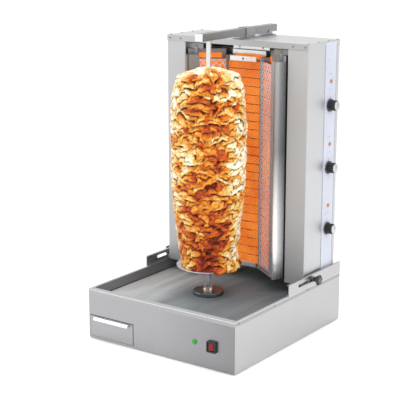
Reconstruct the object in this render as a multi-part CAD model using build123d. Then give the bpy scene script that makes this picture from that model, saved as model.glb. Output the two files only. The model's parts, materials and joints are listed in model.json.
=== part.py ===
"""Vertical rotisserie broiler: an electric kebab grill with a sliding heater cabinet.

Millimetres, +Z up. The origin is at the middle of the footprint, on the surface that the feet stand on.
-Y is the cook's side, and +X is the side with the heat controls.
"""
import os
from math import atan2, cos, degrees, hypot, pi, sin

from build123d import *

os.makedirs("parts", exist_ok=True)

# ---------------------------------------------------------------- driving dimensions
SHEET = 1.5                 # folded stainless sheet
THIN = 1.2                  # drip pan and reflector sheet
GAP = 0.3                   # between pieces that slide past each other

BASE_HALF_X = 250.0
BASE_HALF_Y = 277.0
BASE_BOTTOM = 2.5
RIM_TOP = 146.0
SKIRT_HEIGHT = 12.0
BASIN_HALF_X = 242.0
BASIN_HALF_Y = 259.0
BASIN_FLOOR = 117.0
FRONT_LIMIT = 285.0         # furthest that the drawer's lip, the gland and the top bar reach from the middle

SPIT_Y = -43.0              # the spit stands at x = 0
ROD_SIDE = 11.0
ROD_TURN = 20.0             # degrees that the square rod is turned about Z
JOURNAL_R = 5.5
ROD_BOTTOM = 136.0
ROD_SQUARE_TOP = 834.0
ROD_TOP = 856.0
DISC_R = 44.0
DISC_Z = (119.0, 128.4)
SHAFT_R = 9.0
PLATE_R = 90.5
PLATE_Z = (204.0, 206.0)
RUNNING = 0.05              # radial clearance of a shaft in its bore

GEAR_MODULE = 2.0
GEAR_TEETH = 48
PINION_TEETH = 12
PINION_SHAFT_R = 5.0
GEAR_Z = (76.0, 86.0)
PINION_Y = SPIT_Y + GEAR_MODULE * (GEAR_TEETH + PINION_TEETH) / 2

DRAWER_X = (-243.2, -91.2)
DRAWER_Z = (9.3, 69.0)
DRAWER_GAP = 2.4            # beside and above the drawer's front
TRAY_X = (-236.0, -96.0)
TRAY_Y = (-274.3, -45.0)
TRAY_Z = (12.0, 62.0)
DRAIN = (-190.0, -232.0)
DRAIN_R = 15.0
DRAIN_LIP = 5.0

SWITCH = (178.0, -277.0, 66.0)
SWITCH_HALF_X = 14.5
SWITCH_HALF_Z = 15.5
SWITCH_BODY = 13.0          # half the width and height of its body, behind the panel
ROCKER_HALF_X = 9.6
ROCKER_HALF_Z = 11.0
LAMP = (120.0, 67.0)
GLAND = (180.0, 40.0)
CORD_R = 4.5

CAB_HALF_X = 238.0
CAB_Y = (84.1, 258.7)
CAB_Z = (150.0, 831.4)
HOUSING_WIDTH = 64.0
FLANGE_HEIGHT = 17.0
RAIL_Y = (-12.0, 275.0)
RAIL_TOP = 179.0
SLOT_Y = (40.0, 142.0)
SLOT_Z = 163.5
SLOT_HALF = 4.5
CLAMP_Y = 122.0
CLAMP_R = 4.0

PANEL_HALF = 58.0           # half the width of the middle heater panel
PANEL_FRONT = 128.0         # front face of the middle heater panel
NOSE = (148.0, 63.0)        # outer front corner of the right wing
PANEL_DEPTH = 32.0
PANEL_Z = (160.0, 780.0)
GLOW_Z = (170.0, 768.0)
TRAY_BACK_TOP = 794.6       # the back of each heater tray stands above its sides
WINDOW_HALF = 44.6          # the glowing slot over the middle panel
WINDOW_TOP = 783.0
HANGER_Y = 99.5
TILE_PITCH = 24.9
RETURN_END = (169.5, 85.0)
NOSE_R = 4.6
MESH_END = 21.5             # where a wing's mesh stops, from the middle of the wing; a plain sheet follows

BAR_HALF = 12.3
BAR_Z = (840.0, 860.0)
BAR_FRONT = -90.0
BAR_BACK = FRONT_LIMIT
BAR_WALL = 2.0
CLIP_Y = ((122.0, 166.0), (240.0, 257.0))

KNOB_Y = 210.0
KNOB_Z = {"upper": 651.0, "middle": 472.0, "lower": 293.0}
LAMP_RISE = 67.0            # from a knob up to its lamp
LAMP_Y = 213.5
STRIP_Y = (178.0, 242.5)
STRIP_Z = (158.0, 828.0)
SPINDLE_R = 3.0

HOUSING_INNER = CAB_HALF_X - HOUSING_WIDTH
PANEL_OUT = BASE_HALF_X - THIN
PANEL_OUT_Y = BASE_HALF_Y - THIN


# ---------------------------------------------------------------- helpers
def block(x, y, z):
    """A box from its low and high value along each axis."""
    middle = [(low + high) / 2 for low, high in (x, y, z)]
    size = [high - low for low, high in (x, y, z)]
    return Pos(*middle) * Box(*size)


def both(value):
    """A pair of values either side of zero."""
    return (-value, value)


def rod_x(y, z, radius, low, high):
    return Pos((low + high) / 2, y, z) * Rot(0, 90, 0) * Cylinder(radius, high - low)


def rod_y(x, z, radius, low, high):
    return Pos(x, (low + high) / 2, z) * Rot(90, 0, 0) * Cylinder(radius, high - low)


def rod_z(x, y, radius, low, high):
    return Pos(x, y, (low + high) / 2) * Cylinder(radius, high - low)


def prism(points, low, high):
    """An outline in X and Y, pulled up from low to high."""
    outline = Plane.XY.offset(low) * make_face(Polyline(*points, close=True))
    return extrude(outline, high - low)


def strip(start, end, thickness, low, high):
    """An upright sheet from start to end, with its thickness to the left of the way it runs."""
    run_x = end[0] - start[0]
    run_y = end[1] - start[1]
    length = hypot(run_x, run_y)
    side = (-run_y / length * thickness, run_x / length * thickness)
    far = (end[0] + side[0], end[1] + side[1])
    near = (start[0] + side[0], start[1] + side[1])
    return prism([start, end, far, near], low, high)


def flip(part):
    """The same piece on the other side of the machine."""
    return mirror(part, about=Plane.YZ)


def group(solids):
    """Separate pieces that share one node."""
    return Compound(children=list(solids))


def screw_y(x, z, face, radius=3.0, out=1.8):
    """A domed screw head on a face that looks along -Y."""
    head = rod_y(x, z, radius, face - out, face)
    return fillet(head.edges().filter_by(GeomType.CIRCLE).group_by(Axis.Y)[0], out * 0.6)


def screw_x(y, z, face, radius=3.0, out=1.8):
    """A domed screw head on a face that looks along +X, or along -X where face is negative."""
    side = 1 if face > 0 else -1
    low, high = sorted((face, face + side * out))
    head = rod_x(y, z, radius, low, high)
    outer = head.edges().filter_by(GeomType.CIRCLE).sort_by(Axis.X)[-1 if side > 0 else 0]
    return fillet(outer, out * 0.6)


def screw_z(x, y, face, radius=3.0, out=1.8):
    """A domed screw head on a face that looks up."""
    head = rod_z(x, y, radius, face, face + out)
    return fillet(head.edges().filter_by(GeomType.CIRCLE).sort_by(Axis.Z)[-1], out * 0.6)


# ---------------------------------------------------------------- base
def base_front_panel():
    panel = block(both(PANEL_OUT), (-PANEL_OUT_Y, -PANEL_OUT_Y + SHEET), (BASE_BOTTOM, RIM_TOP - THIN))
    way_x = (DRAWER_X[0] - 0.8, DRAWER_X[1] + DRAWER_GAP)
    way_z = (DRAWER_Z[0] - 0.8, DRAWER_Z[1] + DRAWER_GAP)
    drawer_way = block(way_x, (-300, -200), way_z)
    switch_side = 2 * SWITCH_BODY + 0.2
    switch_way = Pos(SWITCH[0], -PANEL_OUT_Y, SWITCH[2]) * Box(switch_side, 10, switch_side)
    lamp_way = rod_y(*LAMP, 5.0, -300, -200)
    return panel - drawer_way - switch_way - lamp_way


def base_side_right():
    return block((PANEL_OUT - SHEET, PANEL_OUT), both(PANEL_OUT_Y - SHEET), (BASE_BOTTOM, RIM_TOP - THIN))


def base_back_panel():
    panel = block(both(PANEL_OUT), (PANEL_OUT_Y - SHEET, PANEL_OUT_Y), (BASE_BOTTOM, RIM_TOP - THIN))
    for column in range(9):
        vent = Pos(-80 + 16 * column, PANEL_OUT_Y, 72) * Box(5, 10, 44)
        panel -= vent
    return panel - rod_y(*GLAND, 8.0, 200, 300)


def base_bottom_plate():
    inner_y = PANEL_OUT_Y - SHEET
    plate = block(both(PANEL_OUT - SHEET), both(inner_y), (BASE_BOTTOM, BASE_BOTTOM + SHEET))
    for column in range(7):
        plate -= Pos(-48 + 16 * column, 150, BASE_BOTTOM) * Box(5, 60, 10)
    return plate


def drip_pan():
    outer = block(both(BASE_HALF_X), both(BASE_HALF_Y), (RIM_TOP - SKIRT_HEIGHT, RIM_TOP))
    outer = fillet(outer.edges().filter_by(Axis.Z), 3.0)
    under = block(both(PANEL_OUT), both(PANEL_OUT_Y), (0, RIM_TOP - THIN))
    basin = block(both(BASIN_HALF_X), both(BASIN_HALF_Y), (BASIN_FLOOR, 200))
    basin = fillet(basin.edges().filter_by(Axis.Z), 8.0)
    wall = block(both(BASIN_HALF_X + THIN), both(BASIN_HALF_Y + THIN), (BASIN_FLOOR - THIN, RIM_TOP))
    wall = fillet(wall.edges().filter_by(Axis.Z), 9.0)
    pan = (outer - under + wall) - basin
    spout = rod_z(*DRAIN, DRAIN_R + THIN, BASIN_FLOOR - DRAIN_LIP, BASIN_FLOOR)
    pan += spout
    pan -= rod_z(*DRAIN, DRAIN_R, 90, 130)
    pan -= rod_z(0, SPIT_Y, 16.0, 90, 130)
    return pan


def rubber_feet():
    feet = []
    for x in (-215, 215):
        for y in (-242, 242):
            foot = rod_z(x, y, 15.0, 0, BASE_BOTTOM)
            feet.append(chamfer(foot.edges().sort_by(Axis.Z)[0], 0.8))
    return group(feet)


def base_screws():
    """Screws along the skirt on both sides, and two rivets on the foot of each rail."""
    heads = []
    for y in (-259, -85, 90):
        for side in (-1, 1):
            heads.append(screw_x(y, 141.0, side * BASE_HALF_X, 2.5, 1.5))
    for side in (-1, 1):
        for y in (-4, 22):
            heads.append(screw_z(side * 244.6, y, RIM_TOP + 2, 2.2, 1.4))
    return group(heads)


def slide_rail_right():
    """A channel with its web outwards, and a slot for the clamp screw."""
    web = block((BASE_HALF_X - 2, BASE_HALF_X), RAIL_Y, (RIM_TOP, RAIL_TOP))
    foot = block((241.2, BASE_HALF_X - 2), RAIL_Y, (RIM_TOP, RIM_TOP + 2))
    top = block((243.0, BASE_HALF_X - 2), RAIL_Y, (RAIL_TOP - 2, RAIL_TOP))
    slot_ends = (SLOT_Y[0] + SLOT_HALF, SLOT_Y[1] - SLOT_HALF)
    slot = block((200, 300), slot_ends, (SLOT_Z - SLOT_HALF, SLOT_Z + SLOT_HALF))
    for y in slot_ends:
        slot += rod_x(y, SLOT_Z, SLOT_HALF, 200, 300)
    return web + foot + top - slot


def drawer_runners():
    """Two shelves that carry the drawer, with a wall to guide its side."""
    floor = BASE_BOTTOM + SHEET
    shelves = []
    for edge, side in ((TRAY_X[0], -1), (TRAY_X[1], 1)):
        wall = sorted((edge + side * GAP, edge + side * (GAP + 1.5)))
        shelf = sorted((edge + side * GAP, edge - side * 9))
        upright = block(wall, (-270, -45), (floor, 26))
        shelves.append(upright + block(shelf, (-270, -45), (TRAY_Z[0] - GAP - 1.5, TRAY_Z[0] - GAP)))
    return group(shelves)


def bearing_housing():
    """The flanged bearing under the basin floor that carries the drive shaft."""
    top = BASIN_FLOOR - THIN
    flange = rod_z(0, SPIT_Y, 32.0, top - 5, top)
    barrel = rod_z(0, SPIT_Y, 19.0, top - 20, top - 5)
    housing = fillet((flange + barrel).edges().filter_by(GeomType.CIRCLE).sort_by(Axis.Z)[0], 1.5)
    return housing - rod_z(0, SPIT_Y, SHAFT_R + RUNNING, 50, 130)


def motor_bracket():
    floor = BASE_BOTTOM + SHEET
    bracket = block(both(62), (-80, 72), (66, 68))
    for side in (-1, 1):
        leg = sorted((side * 60, side * 62))
        foot = sorted((side * 62, side * 76))
        bracket += block(leg, (-80, 72), (floor, 66))
        bracket += block(foot, (-80, 72), (floor, floor + 2))
    bracket -= rod_z(0, SPIT_Y, SHAFT_R + RUNNING, 50, 80)
    return bracket - rod_z(0, PINION_Y, 9.0, 50, 80)


def gear_motor():
    """The right-angle gearbox with its motor behind it, bought as one unit."""
    start = PINION_Y + 33
    can = rod_y(0, 40, 23.0, start - 1, start + 92)
    motor = fillet(can.edges().sort_by(Axis.Y)[-1], 3.0)
    for step in range(7):
        motor += rod_y(0, 40, 25.0, start + 12 + 9 * step, start + 16 + 9 * step)
    case = block(both(31), (PINION_Y - 24, start), (16, 66))
    case = fillet(case.edges().filter_by(Axis.Z), 5.0)
    return motor + case - rod_z(0, PINION_Y, PINION_SHAFT_R + RUNNING, 50, 80)


def terminal_block():
    block_body = block((130, 190), (190, 212), (BASE_BOTTOM + SHEET, 24))
    for column in range(6):
        block_body -= rod_z(135 + 10 * column, 201, 2.5, 16, 40)
    return block_body


def cable_gland():
    """A hexagonal gland with its lock nut inside; the supply lead is not part of the model."""
    x, z = GLAND
    hexagon = extrude(RegularPolygon(10.0, 6), FRONT_LIMIT - PANEL_OUT_Y)
    outside = Pos(x, PANEL_OUT_Y, z) * Rot(-90, 0, 0) * hexagon
    barrel = rod_y(x, z, 7.9, PANEL_OUT_Y - 16, PANEL_OUT_Y)
    nut = Pos(x, PANEL_OUT_Y - SHEET - 4, z) * Rot(-90, 0, 0) * extrude(RegularPolygon(10.0, 6), 4)
    return outside + barrel + nut - rod_y(x, z, CORD_R, 200, 300)


# ---------------------------------------------------------------- switch, lamp and drawer
def switch_bezel():
    """The frame and the body of the power switch."""
    x, y, z = SWITCH
    frame_z = (z - SWITCH_HALF_Z, z + SWITCH_HALF_Z)
    frame = block((x - SWITCH_HALF_X, x + SWITCH_HALF_X), (-284.5, -PANEL_OUT_Y), frame_z)
    frame = fillet(frame.edges().filter_by(Axis.Y), 2.4)
    frame = chamfer(frame.faces().sort_by(Axis.Y)[0].edges(), 1.2)
    body_z = (z - SWITCH_BODY, z + SWITCH_BODY)
    body = block((x - SWITCH_BODY, x + SWITCH_BODY), (-PANEL_OUT_Y, -248), body_z)
    hollow = block((x - 12, x + 12), (-300, -262), (z - ROCKER_HALF_Z - 0.5, z + ROCKER_HALF_Z + 0.5))
    return frame + body - hollow


def rocker():
    """Pressed in at its right half; its pivot is the upright axis through SWITCH."""
    end = ROCKER_HALF_X
    outline = [(-end, -7.8), (0, -4.6), (end, -3.6), (end, 0.5), (5.5, 6), (-5.5, 6), (-end, 0.5)]
    points = [(SWITCH[0] + x, SWITCH[1] + y) for x, y in outline]
    body = prism(points, SWITCH[2] - ROCKER_HALF_Z, SWITCH[2] + ROCKER_HALF_Z)
    return fillet(body.edges().filter_by(Axis.Z).sort_by(Axis.Y)[:1], 1.0)


def power_lamp():
    stem = rod_y(*LAMP, 4.9, -PANEL_OUT_Y, -268)
    ring = rod_y(*LAMP, 7.2, -277.3, -PANEL_OUT_Y)
    lens = rod_y(*LAMP, 5.9, -280.3, -277.3)
    lens = fillet(lens.edges().sort_by(Axis.Y)[0], 2.4)
    return stem + ring + lens


def drawer_front():
    """The flush front with its folded finger lip."""
    face = block(DRAWER_X, (-PANEL_OUT_Y, -PANEL_OUT_Y + SHEET), DRAWER_Z)
    lip_profile = [(-275.8, 67.8), (-281.5, 66.6), (-285.0, 62.4), (-285.0, 58.8), (-283.6, 58.8),
                   (-283.6, 62.0), (-280.7, 65.3), (-275.8, 66.2)]
    outline = Plane.YZ.offset(-227) * make_face(Polyline(*lip_profile, close=True))
    return face + extrude(outline, 122)


def drawer_tray():
    tray = block(TRAY_X, TRAY_Y, TRAY_Z)
    tray = fillet(tray.edges().filter_by(Axis.Z), 3.0)
    hollow_x = (TRAY_X[0] + THIN, TRAY_X[1] - THIN)
    hollow_y = (TRAY_Y[0] + THIN, TRAY_Y[1] - THIN)
    hollow = block(hollow_x, hollow_y, (TRAY_Z[0] + THIN, 100))
    hollow = fillet(hollow.edges().filter_by(Axis.Z), 2.0)
    return tray - hollow


# ---------------------------------------------------------------- spit and its drive
def gear_outline(teeth, turn):
    """Points of a spur gear: each tooth narrows from root to tip along a rounded flank."""
    pitch_r = GEAR_MODULE * teeth / 2
    half_tooth = pi / teeth / 2 * 0.86
    flank = ((-1.2, 1.45), (0.0, 1.0), (0.85, 0.52))
    points = []
    for tooth in range(teeth):
        middle = turn + 2 * pi * tooth / teeth
        rising = [(pitch_r + GEAR_MODULE * out, middle - half_tooth * wide) for out, wide in flank]
        falling = [(pitch_r + GEAR_MODULE * out, middle + half_tooth * wide) for out, wide in reversed(flank)]
        points += [(radius * cos(angle), radius * sin(angle)) for radius, angle in rising + falling]
    return points


def drive_gear():
    """Its tooth towards the pinion points along +Y."""
    wheel = Pos(0, SPIT_Y, 0) * prism(gear_outline(GEAR_TEETH, pi / 2), *GEAR_Z)
    hub = rod_z(0, SPIT_Y, 15.0, GEAR_Z[0] - 6, GEAR_Z[1] + 6)
    gear = wheel + hub
    for hole in range(6):
        angle = pi / 3 * hole
        gear -= rod_z(28 * cos(angle), SPIT_Y + 28 * sin(angle), 7.0, 60, 100)
    return gear - rod_z(0, SPIT_Y, SHAFT_R, 50, 100)


def motor_pinion():
    """A gap between two teeth faces the drive gear."""
    teeth = Pos(0, PINION_Y, 0) * prism(gear_outline(PINION_TEETH, -pi / 2 + pi / PINION_TEETH), 74, 88)
    return teeth + rod_z(0, PINION_Y, PINION_SHAFT_R, 54, 74)


def drive_shaft():
    return rod_z(0, SPIT_Y, SHAFT_R, 62, DISC_Z[0])


def drive_disc():
    disc = rod_z(0, SPIT_Y, DISC_R, *DISC_Z)
    disc = fillet(disc.edges().filter_by(GeomType.CIRCLE).sort_by(Axis.Z)[-1], 2.0)
    groove = rod_z(0, SPIT_Y, DISC_R + 1, 122.5, 124.0) - rod_z(0, SPIT_Y, DISC_R - 1.5, 120, 126)
    return disc - groove


def turned(part):
    """Turned about the spit axis with the square rod."""
    return Pos(0, SPIT_Y, 0) * Rot(0, 0, ROD_TURN) * part


def spit_socket():
    """A boss with two upright lugs; the flat end of the rod drops between them."""
    boss = rod_z(0, 0, 15.0, DISC_Z[1], DISC_Z[1] + 4)
    socket = fillet(boss.edges().sort_by(Axis.Z)[-1], 1.0)
    for side, top in ((-1, 147.0), (1, 140.0)):
        across = sorted((side * (ROD_SIDE / 2 + 0.2), side * (ROD_SIDE / 2 + 6.2)))
        lug = block(across, both(5), (DISC_Z[1] + 3, top))
        socket += fillet(lug.edges().filter_by(Axis.Y).sort_by(Axis.Z)[-2:], 2.0)
    socket -= rod_x(0, 137.0, 2.6, -20, 20)
    return turned(socket)


def socket_screw():
    """A cross pin with a knurled head, through the lugs below the end of the rod."""
    pin = rod_x(0, 137.0, 2.5, -13.0, 13.0)
    head = rod_x(0, 137.0, 4.5, 12.0, 15.5)
    notch = Pos(15.5, 0, 137.0) * Box(1.6, 9.5, 1.2)
    return turned(pin + head - notch)


def spit_rod():
    """A square rod with a tapered foot and a round journal at the top."""
    shank = block(both(ROD_SIDE / 2), both(ROD_SIDE / 2), (ROD_BOTTOM + 18, ROD_SQUARE_TOP))
    foot_top = Plane.XY.offset(ROD_BOTTOM + 18) * Rectangle(ROD_SIDE, ROD_SIDE)
    foot_end = Plane.XY.offset(ROD_BOTTOM + 5) * Rectangle(ROD_SIDE - 1.5, ROD_SIDE - 3)
    foot = loft([foot_end, foot_top])
    journal = rod_z(0, 0, JOURNAL_R, ROD_SQUARE_TOP, ROD_TOP)
    journal = chamfer(journal.edges().sort_by(Axis.Z)[-1], 1.5)
    return turned(shank + foot + journal)


def rod_way(low, high):
    """The square hole that the rod passes through."""
    return Pos(0, 0, (low + high) / 2) * Box(ROD_SIDE + 0.3, ROD_SIDE + 0.3, high - low)


def meat_plate():
    """The round plate with a raised edge that carries the stack, on a collar pinned to the rod."""
    plate = rod_z(0, 0, PLATE_R, *PLATE_Z)
    collar = rod_z(0, 0, 13.0, PLATE_Z[0] - 9, PLATE_Z[0])
    return turned(plate + collar - rod_way(180, 220))


def meat_stack():
    """The stacked slices as one plain body: a leaning barrel that is widest above its middle."""
    profile = [(82, 209), (86, 246), (91, 290), (97, 350), (105, 420), (108.5, 505), (108.5, 590),
               (106, 665), (99, 716), (84, 748)]
    side = Spline(*profile)
    dome = ThreePointArc(profile[-1], (48, 762), (0, 766))
    low = PLATE_Z[1]
    base = Polyline((0, 766), (0, low), (80, low), profile[0])
    outline = make_face(Plane.XZ * Curve([side, dome, base]))
    return turned(revolve(outline, Axis.Z) - rod_way(low - 1, 800))


# ---------------------------------------------------------------- heater cabinet
def side_housing_left():
    deep = (CAB_Y[0] + SHEET, CAB_Y[1] - SHEET)
    outer = block((-CAB_HALF_X, -HOUSING_INNER), deep, (CAB_Z[0], CAB_Z[1] - SHEET))
    outer = fillet(outer.edges().filter_by(Axis.Z), 1.2)
    hollow_x = (-CAB_HALF_X + SHEET, -HOUSING_INNER - SHEET)
    hollow_y = (CAB_Y[0] + 2 * SHEET, CAB_Y[1] - 2 * SHEET)
    return outer - block(hollow_x, hollow_y, (CAB_Z[0] + SHEET, CAB_Z[1]))


def side_housing_right():
    housing = flip(side_housing_left())
    for z in KNOB_Z.values():
        housing -= rod_x(KNOB_Y, z, 5.0, 230, 250)
        housing -= rod_x(LAMP_Y, z + LAMP_RISE, 4.6, 230, 250)
    return housing


def cabinet_back():
    deep = (CAB_Y[1] - 2 * SHEET, CAB_Y[1] - SHEET)
    return block(both(HOUSING_INNER), deep, (CAB_Z[0] + 12, CAB_Z[1] - SHEET))


def cabinet_cross_member():
    """The bottom channel between the housings, and the shelf and hangers that the heater hangs from."""
    channel = block(both(HOUSING_INNER), (190, CAB_Y[1] - 2 * SHEET), (CAB_Z[0], CAB_Z[0] + SHEET))
    channel += block(both(HOUSING_INNER), (190, 190 + SHEET), (CAB_Z[0], CAB_Z[0] + 26))
    shelf = block(both(HOUSING_INNER), (172, CAB_Y[1] - 2 * SHEET), (796, 796 + SHEET))
    shelf += block(both(HOUSING_INNER), (172, 172 + SHEET), (780, 796))
    hanger_y = (HANGER_Y, HANGER_Y + SHEET)
    hanger = block((120, HOUSING_INNER), hanger_y, (TRAY_BACK_TOP + 0.6, 811))
    hanger -= rod_y(145, 801.5, 3.5, 80, 120)
    link = block((139, 150), (HANGER_Y - SHEET, HANGER_Y), (770, 803))
    return group([channel, shelf, hanger, flip(hanger), link, flip(link)])


def top_cover():
    """The lid: a flat top with a deep front flange, and an opening where the bar's clip drops through."""
    sheet = block(both(CAB_HALF_X), CAB_Y, (CAB_Z[1] - SHEET, CAB_Z[1]))
    for y in ((CAB_Y[0], CAB_Y[0] + SHEET), (CAB_Y[1] - SHEET, CAB_Y[1])):
        sheet += block(both(CAB_HALF_X), y, (CAB_Z[1] - FLANGE_HEIGHT, CAB_Z[1] - SHEET))
    return sheet - block(both(22), (94, 115), (800, 900))


def wing_pose(side):
    """Where a wing panel stands: side is 1 on the right and -1 on the left."""
    run_x = NOSE[0] - PANEL_HALF
    run_y = NOSE[1] - PANEL_FRONT
    middle_x = (NOSE[0] + PANEL_HALF) / 2
    middle_y = (NOSE[1] + PANEL_FRONT) / 2
    turn = degrees(atan2(run_y, run_x))
    return Pos(side * middle_x, middle_y, 0) * Rot(0, 0, side * turn)


WING_HALF = hypot(NOSE[0] - PANEL_HALF, NOSE[1] - PANEL_FRONT) / 2 - 0.4


def heater_tray(half):
    """A sheet trough, open to the front and at the top, in the panel's own frame: its front is y = 0."""
    tray = block(both(half), (0, PANEL_DEPTH), PANEL_Z)
    tray -= block(both(half - THIN), (-5, PANEL_DEPTH - THIN), (PANEL_Z[0] + THIN, PANEL_Z[1] + 10))
    return tray + block(both(half), (PANEL_DEPTH - THIN, PANEL_DEPTH), (PANEL_Z[1], TRAY_BACK_TOP))


def heating_elements(span, slot):
    """A stack of ceramic tiles with grooves between them, and the tile that fills the top slot."""
    board = block(span, (9, 22), GLOW_Z)
    count = int((GLOW_Z[1] - GLOW_Z[0]) / TILE_PITCH)
    for step in range(1, count + 1):
        z = GLOW_Z[0] + step * TILE_PITCH
        if z < GLOW_Z[1] - 4:
            board -= block(both(PANEL_HALF), (8, 12), (z - 1.5, z + 1.5))
    board += block(slot, (22, 30.6), (756, 764))
    return board + block(slot, (28.8, 30.6), (756, WINDOW_TOP - GAP))


def mesh_guard(span):
    """A flat guard with a border and an open grid."""
    columns = 4
    rows = 24
    wire = 2.0
    width = span[1] - span[0]
    height = GLOW_Z[1] - GLOW_Z[0]
    pitch_x = (width - wire) / columns
    pitch_z = (height - wire) / rows
    sheet = Rectangle(width, height)
    sheet -= GridLocations(pitch_x, pitch_z, columns, rows) * Rectangle(pitch_x - wire, pitch_z - wire)
    return Pos(sum(span) / 2, 2.6, sum(GLOW_Z) / 2) * Rot(90, 0, 0) * extrude(sheet, 1.0)


def reflector_return_right():
    """The plain sheet beside the wing's mesh, the nose, and the polished sheet back to the housing."""
    low, high = PANEL_Z
    nose_x = NOSE[0] + 3.6
    nose_y = NOSE[1] - 2.7
    nose = rod_z(nose_x, nose_y, NOSE_R, low, high)
    skin = strip((nose_x + 0.86 * NOSE_R, nose_y - 0.5 * NOSE_R), RETURN_END, THIN, low, high)
    tail = block((RETURN_END[0] - THIN, RETURN_END[0]), (RETURN_END[1] - 1, 112), (low, high))
    beside_mesh = (MESH_END + 0.8, WING_HALF - THIN - GAP)
    plain = wing_pose(1) * block(beside_mesh, (1.4, 2.6), (low + THIN + GAP, high))
    return group([nose + skin + tail, plain])


def heater_brackets():
    """Clips over the middle panel, the frame of its top slot, and the strip behind them."""
    tray_back = PANEL_FRONT + PANEL_DEPTH - THIN
    frame_y = (tray_back - THIN, tray_back)
    frame = block(both(PANEL_HALF - 1.5), frame_y, (WINDOW_TOP, TRAY_BACK_TOP))
    tab = block((WINDOW_HALF, PANEL_HALF - 1.5), frame_y, (762, WINDOW_TOP))
    pieces = [block(both(62.4), (168.5, 170), (794, 809)), frame + tab + flip(tab)]
    for half, z in ((45, (766, 780)), (51, (161, 175))):
        clip = block(both(half), (PANEL_FRONT - 2.4, PANEL_FRONT), z)
        pieces.append(clip - rod_y(0, sum(z) / 2, 2.6, 100, 150))
    return group(pieces)


def control_strip():
    strip_sheet = block((CAB_HALF_X, CAB_HALF_X + 0.6), STRIP_Y, STRIP_Z)
    for z in KNOB_Z.values():
        strip_sheet -= rod_x(KNOB_Y, z, 5.0, 200, 250)
        strip_sheet -= rod_x(LAMP_Y, z + LAMP_RISE, 4.6, 200, 250)
    return strip_sheet


def heat_lamps():
    lamps = []
    for z in KNOB_Z.values():
        stem = rod_x(LAMP_Y, z + LAMP_RISE, 4.5, 226, CAB_HALF_X + 0.6)
        lens = rod_x(LAMP_Y, z + LAMP_RISE, 5.6, CAB_HALF_X + 0.6, CAB_HALF_X + 3.4)
        lamps.append(stem + fillet(lens.edges().sort_by(Axis.X)[-1], 2.0))
    return group(lamps)


def heat_regulators():
    """The rotary heat controls behind the strip, one for each heater zone."""
    controls = []
    face = CAB_HALF_X - SHEET
    for z in KNOB_Z.values():
        case = block((face - 34, face - 2), (KNOB_Y - 18, KNOB_Y + 18), (z - 18, z + 18))
        neck = rod_x(KNOB_Y, z, 4.8, face - 2, face)
        controls.append(case + neck - rod_x(KNOB_Y, z, SPINDLE_R + RUNNING, face - 14, face + 10))
    return group(controls)


def heat_knob(z):
    """A skirted knob with a fluted grip and a bright cap, on its own spindle."""
    start = CAB_HALF_X + 0.6 + GAP
    skirt = rod_x(KNOB_Y, z, 19.0, start, start + 3.5)
    skirt = chamfer(skirt.edges().sort_by(Axis.X)[-1], 1.5)
    grip = rod_x(KNOB_Y, z, 14.6, start + 3.5, start + 22.5)
    for flute in range(18):
        angle = 2 * pi * flute / 18
        y = KNOB_Y + 15.4 * cos(angle)
        grip -= rod_x(y, z + 15.4 * sin(angle), 1.5, start + 6, start + 30)
    cap = rod_x(KNOB_Y, z, 12.4, start + 22.5, start + 25.0)
    cap = fillet(cap.edges().sort_by(Axis.X)[-1], 1.2)
    spindle = rod_x(KNOB_Y, z, SPINDLE_R, CAB_HALF_X - SHEET - 12, start)
    return skirt + grip + cap + spindle


def slide_runners():
    """The bars that ride on the foot of each rail, with a tab that takes the clamp screw."""
    bar = block((CAB_HALF_X, 246.5), (92, 250), (RIM_TOP + 2 + GAP, 157.5))
    tab = block((241.0, 246.5), (100, 146), (157.5, 173))
    right = bar + tab - rod_x(CLAMP_Y, SLOT_Z, CLAMP_R + RUNNING, 200, 300)
    return group([right, flip(right)])


def clamp_knob_right():
    """A star knob on the screw that locks the cabinet to its rail."""
    screw = rod_x(CLAMP_Y, SLOT_Z, CLAMP_R, 241.2, 254)
    washer = rod_x(CLAMP_Y, SLOT_Z, 8.0, BASE_HALF_X + GAP, BASE_HALF_X + 2.2)
    hub = rod_x(CLAMP_Y, SLOT_Z, 6.8, 253, 264)
    head = rod_x(CLAMP_Y, SLOT_Z, 12.2, 264, 272)
    for lobe in range(6):
        angle = 2 * pi * lobe / 6
        head += rod_x(CLAMP_Y + 11.5 * cos(angle), SLOT_Z + 11.5 * sin(angle), 3.6, 264, 272)
    return screw + washer + hub + head


def bar_clips():
    """The hat that holds the top bar down and the low saddle behind it, each with a pad under the bar."""
    pieces = []
    inner = BAR_HALF + GAP
    for y, top in zip(CLIP_Y, (BAR_Z[1] + GAP + 1.5, BAR_Z[0] + 6)):
        hat = block(both(inner + 2), y, (CAB_Z[1], top))
        hat += block(both(inner + 15), y, (CAB_Z[1], CAB_Z[1] + 2))
        hat -= block(both(inner), (y[0] - 1, y[1] + 1), (BAR_Z[0] - GAP, BAR_Z[1] + GAP))
        pieces.append(hat)
    return group(pieces)


def cabinet_screws():
    heads = []
    for side in (-1, 1):
        for x in (190.5, 229):
            heads.append(screw_y(side * x, 822.8, CAB_Y[0]))
        for y in (95, 149, 203.5, 252):
            heads.append(screw_z(side * 233, y, CAB_Z[1], 3.0, 1.6))
        for y in (CLIP_Y[0][0] + 9, CLIP_Y[0][1] - 9, sum(CLIP_Y[1]) / 2):
            heads.append(screw_z(side * (BAR_HALF + 9), y, CAB_Z[1] + 2, 3.2, 2.2))
        heads.append(screw_y(side * 40, 802, 168.5, 2.6))
    for z in (773, 168):
        heads.append(screw_y(0, z, PANEL_FRONT - 2.4, 3.4))
    return group(heads)


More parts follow.
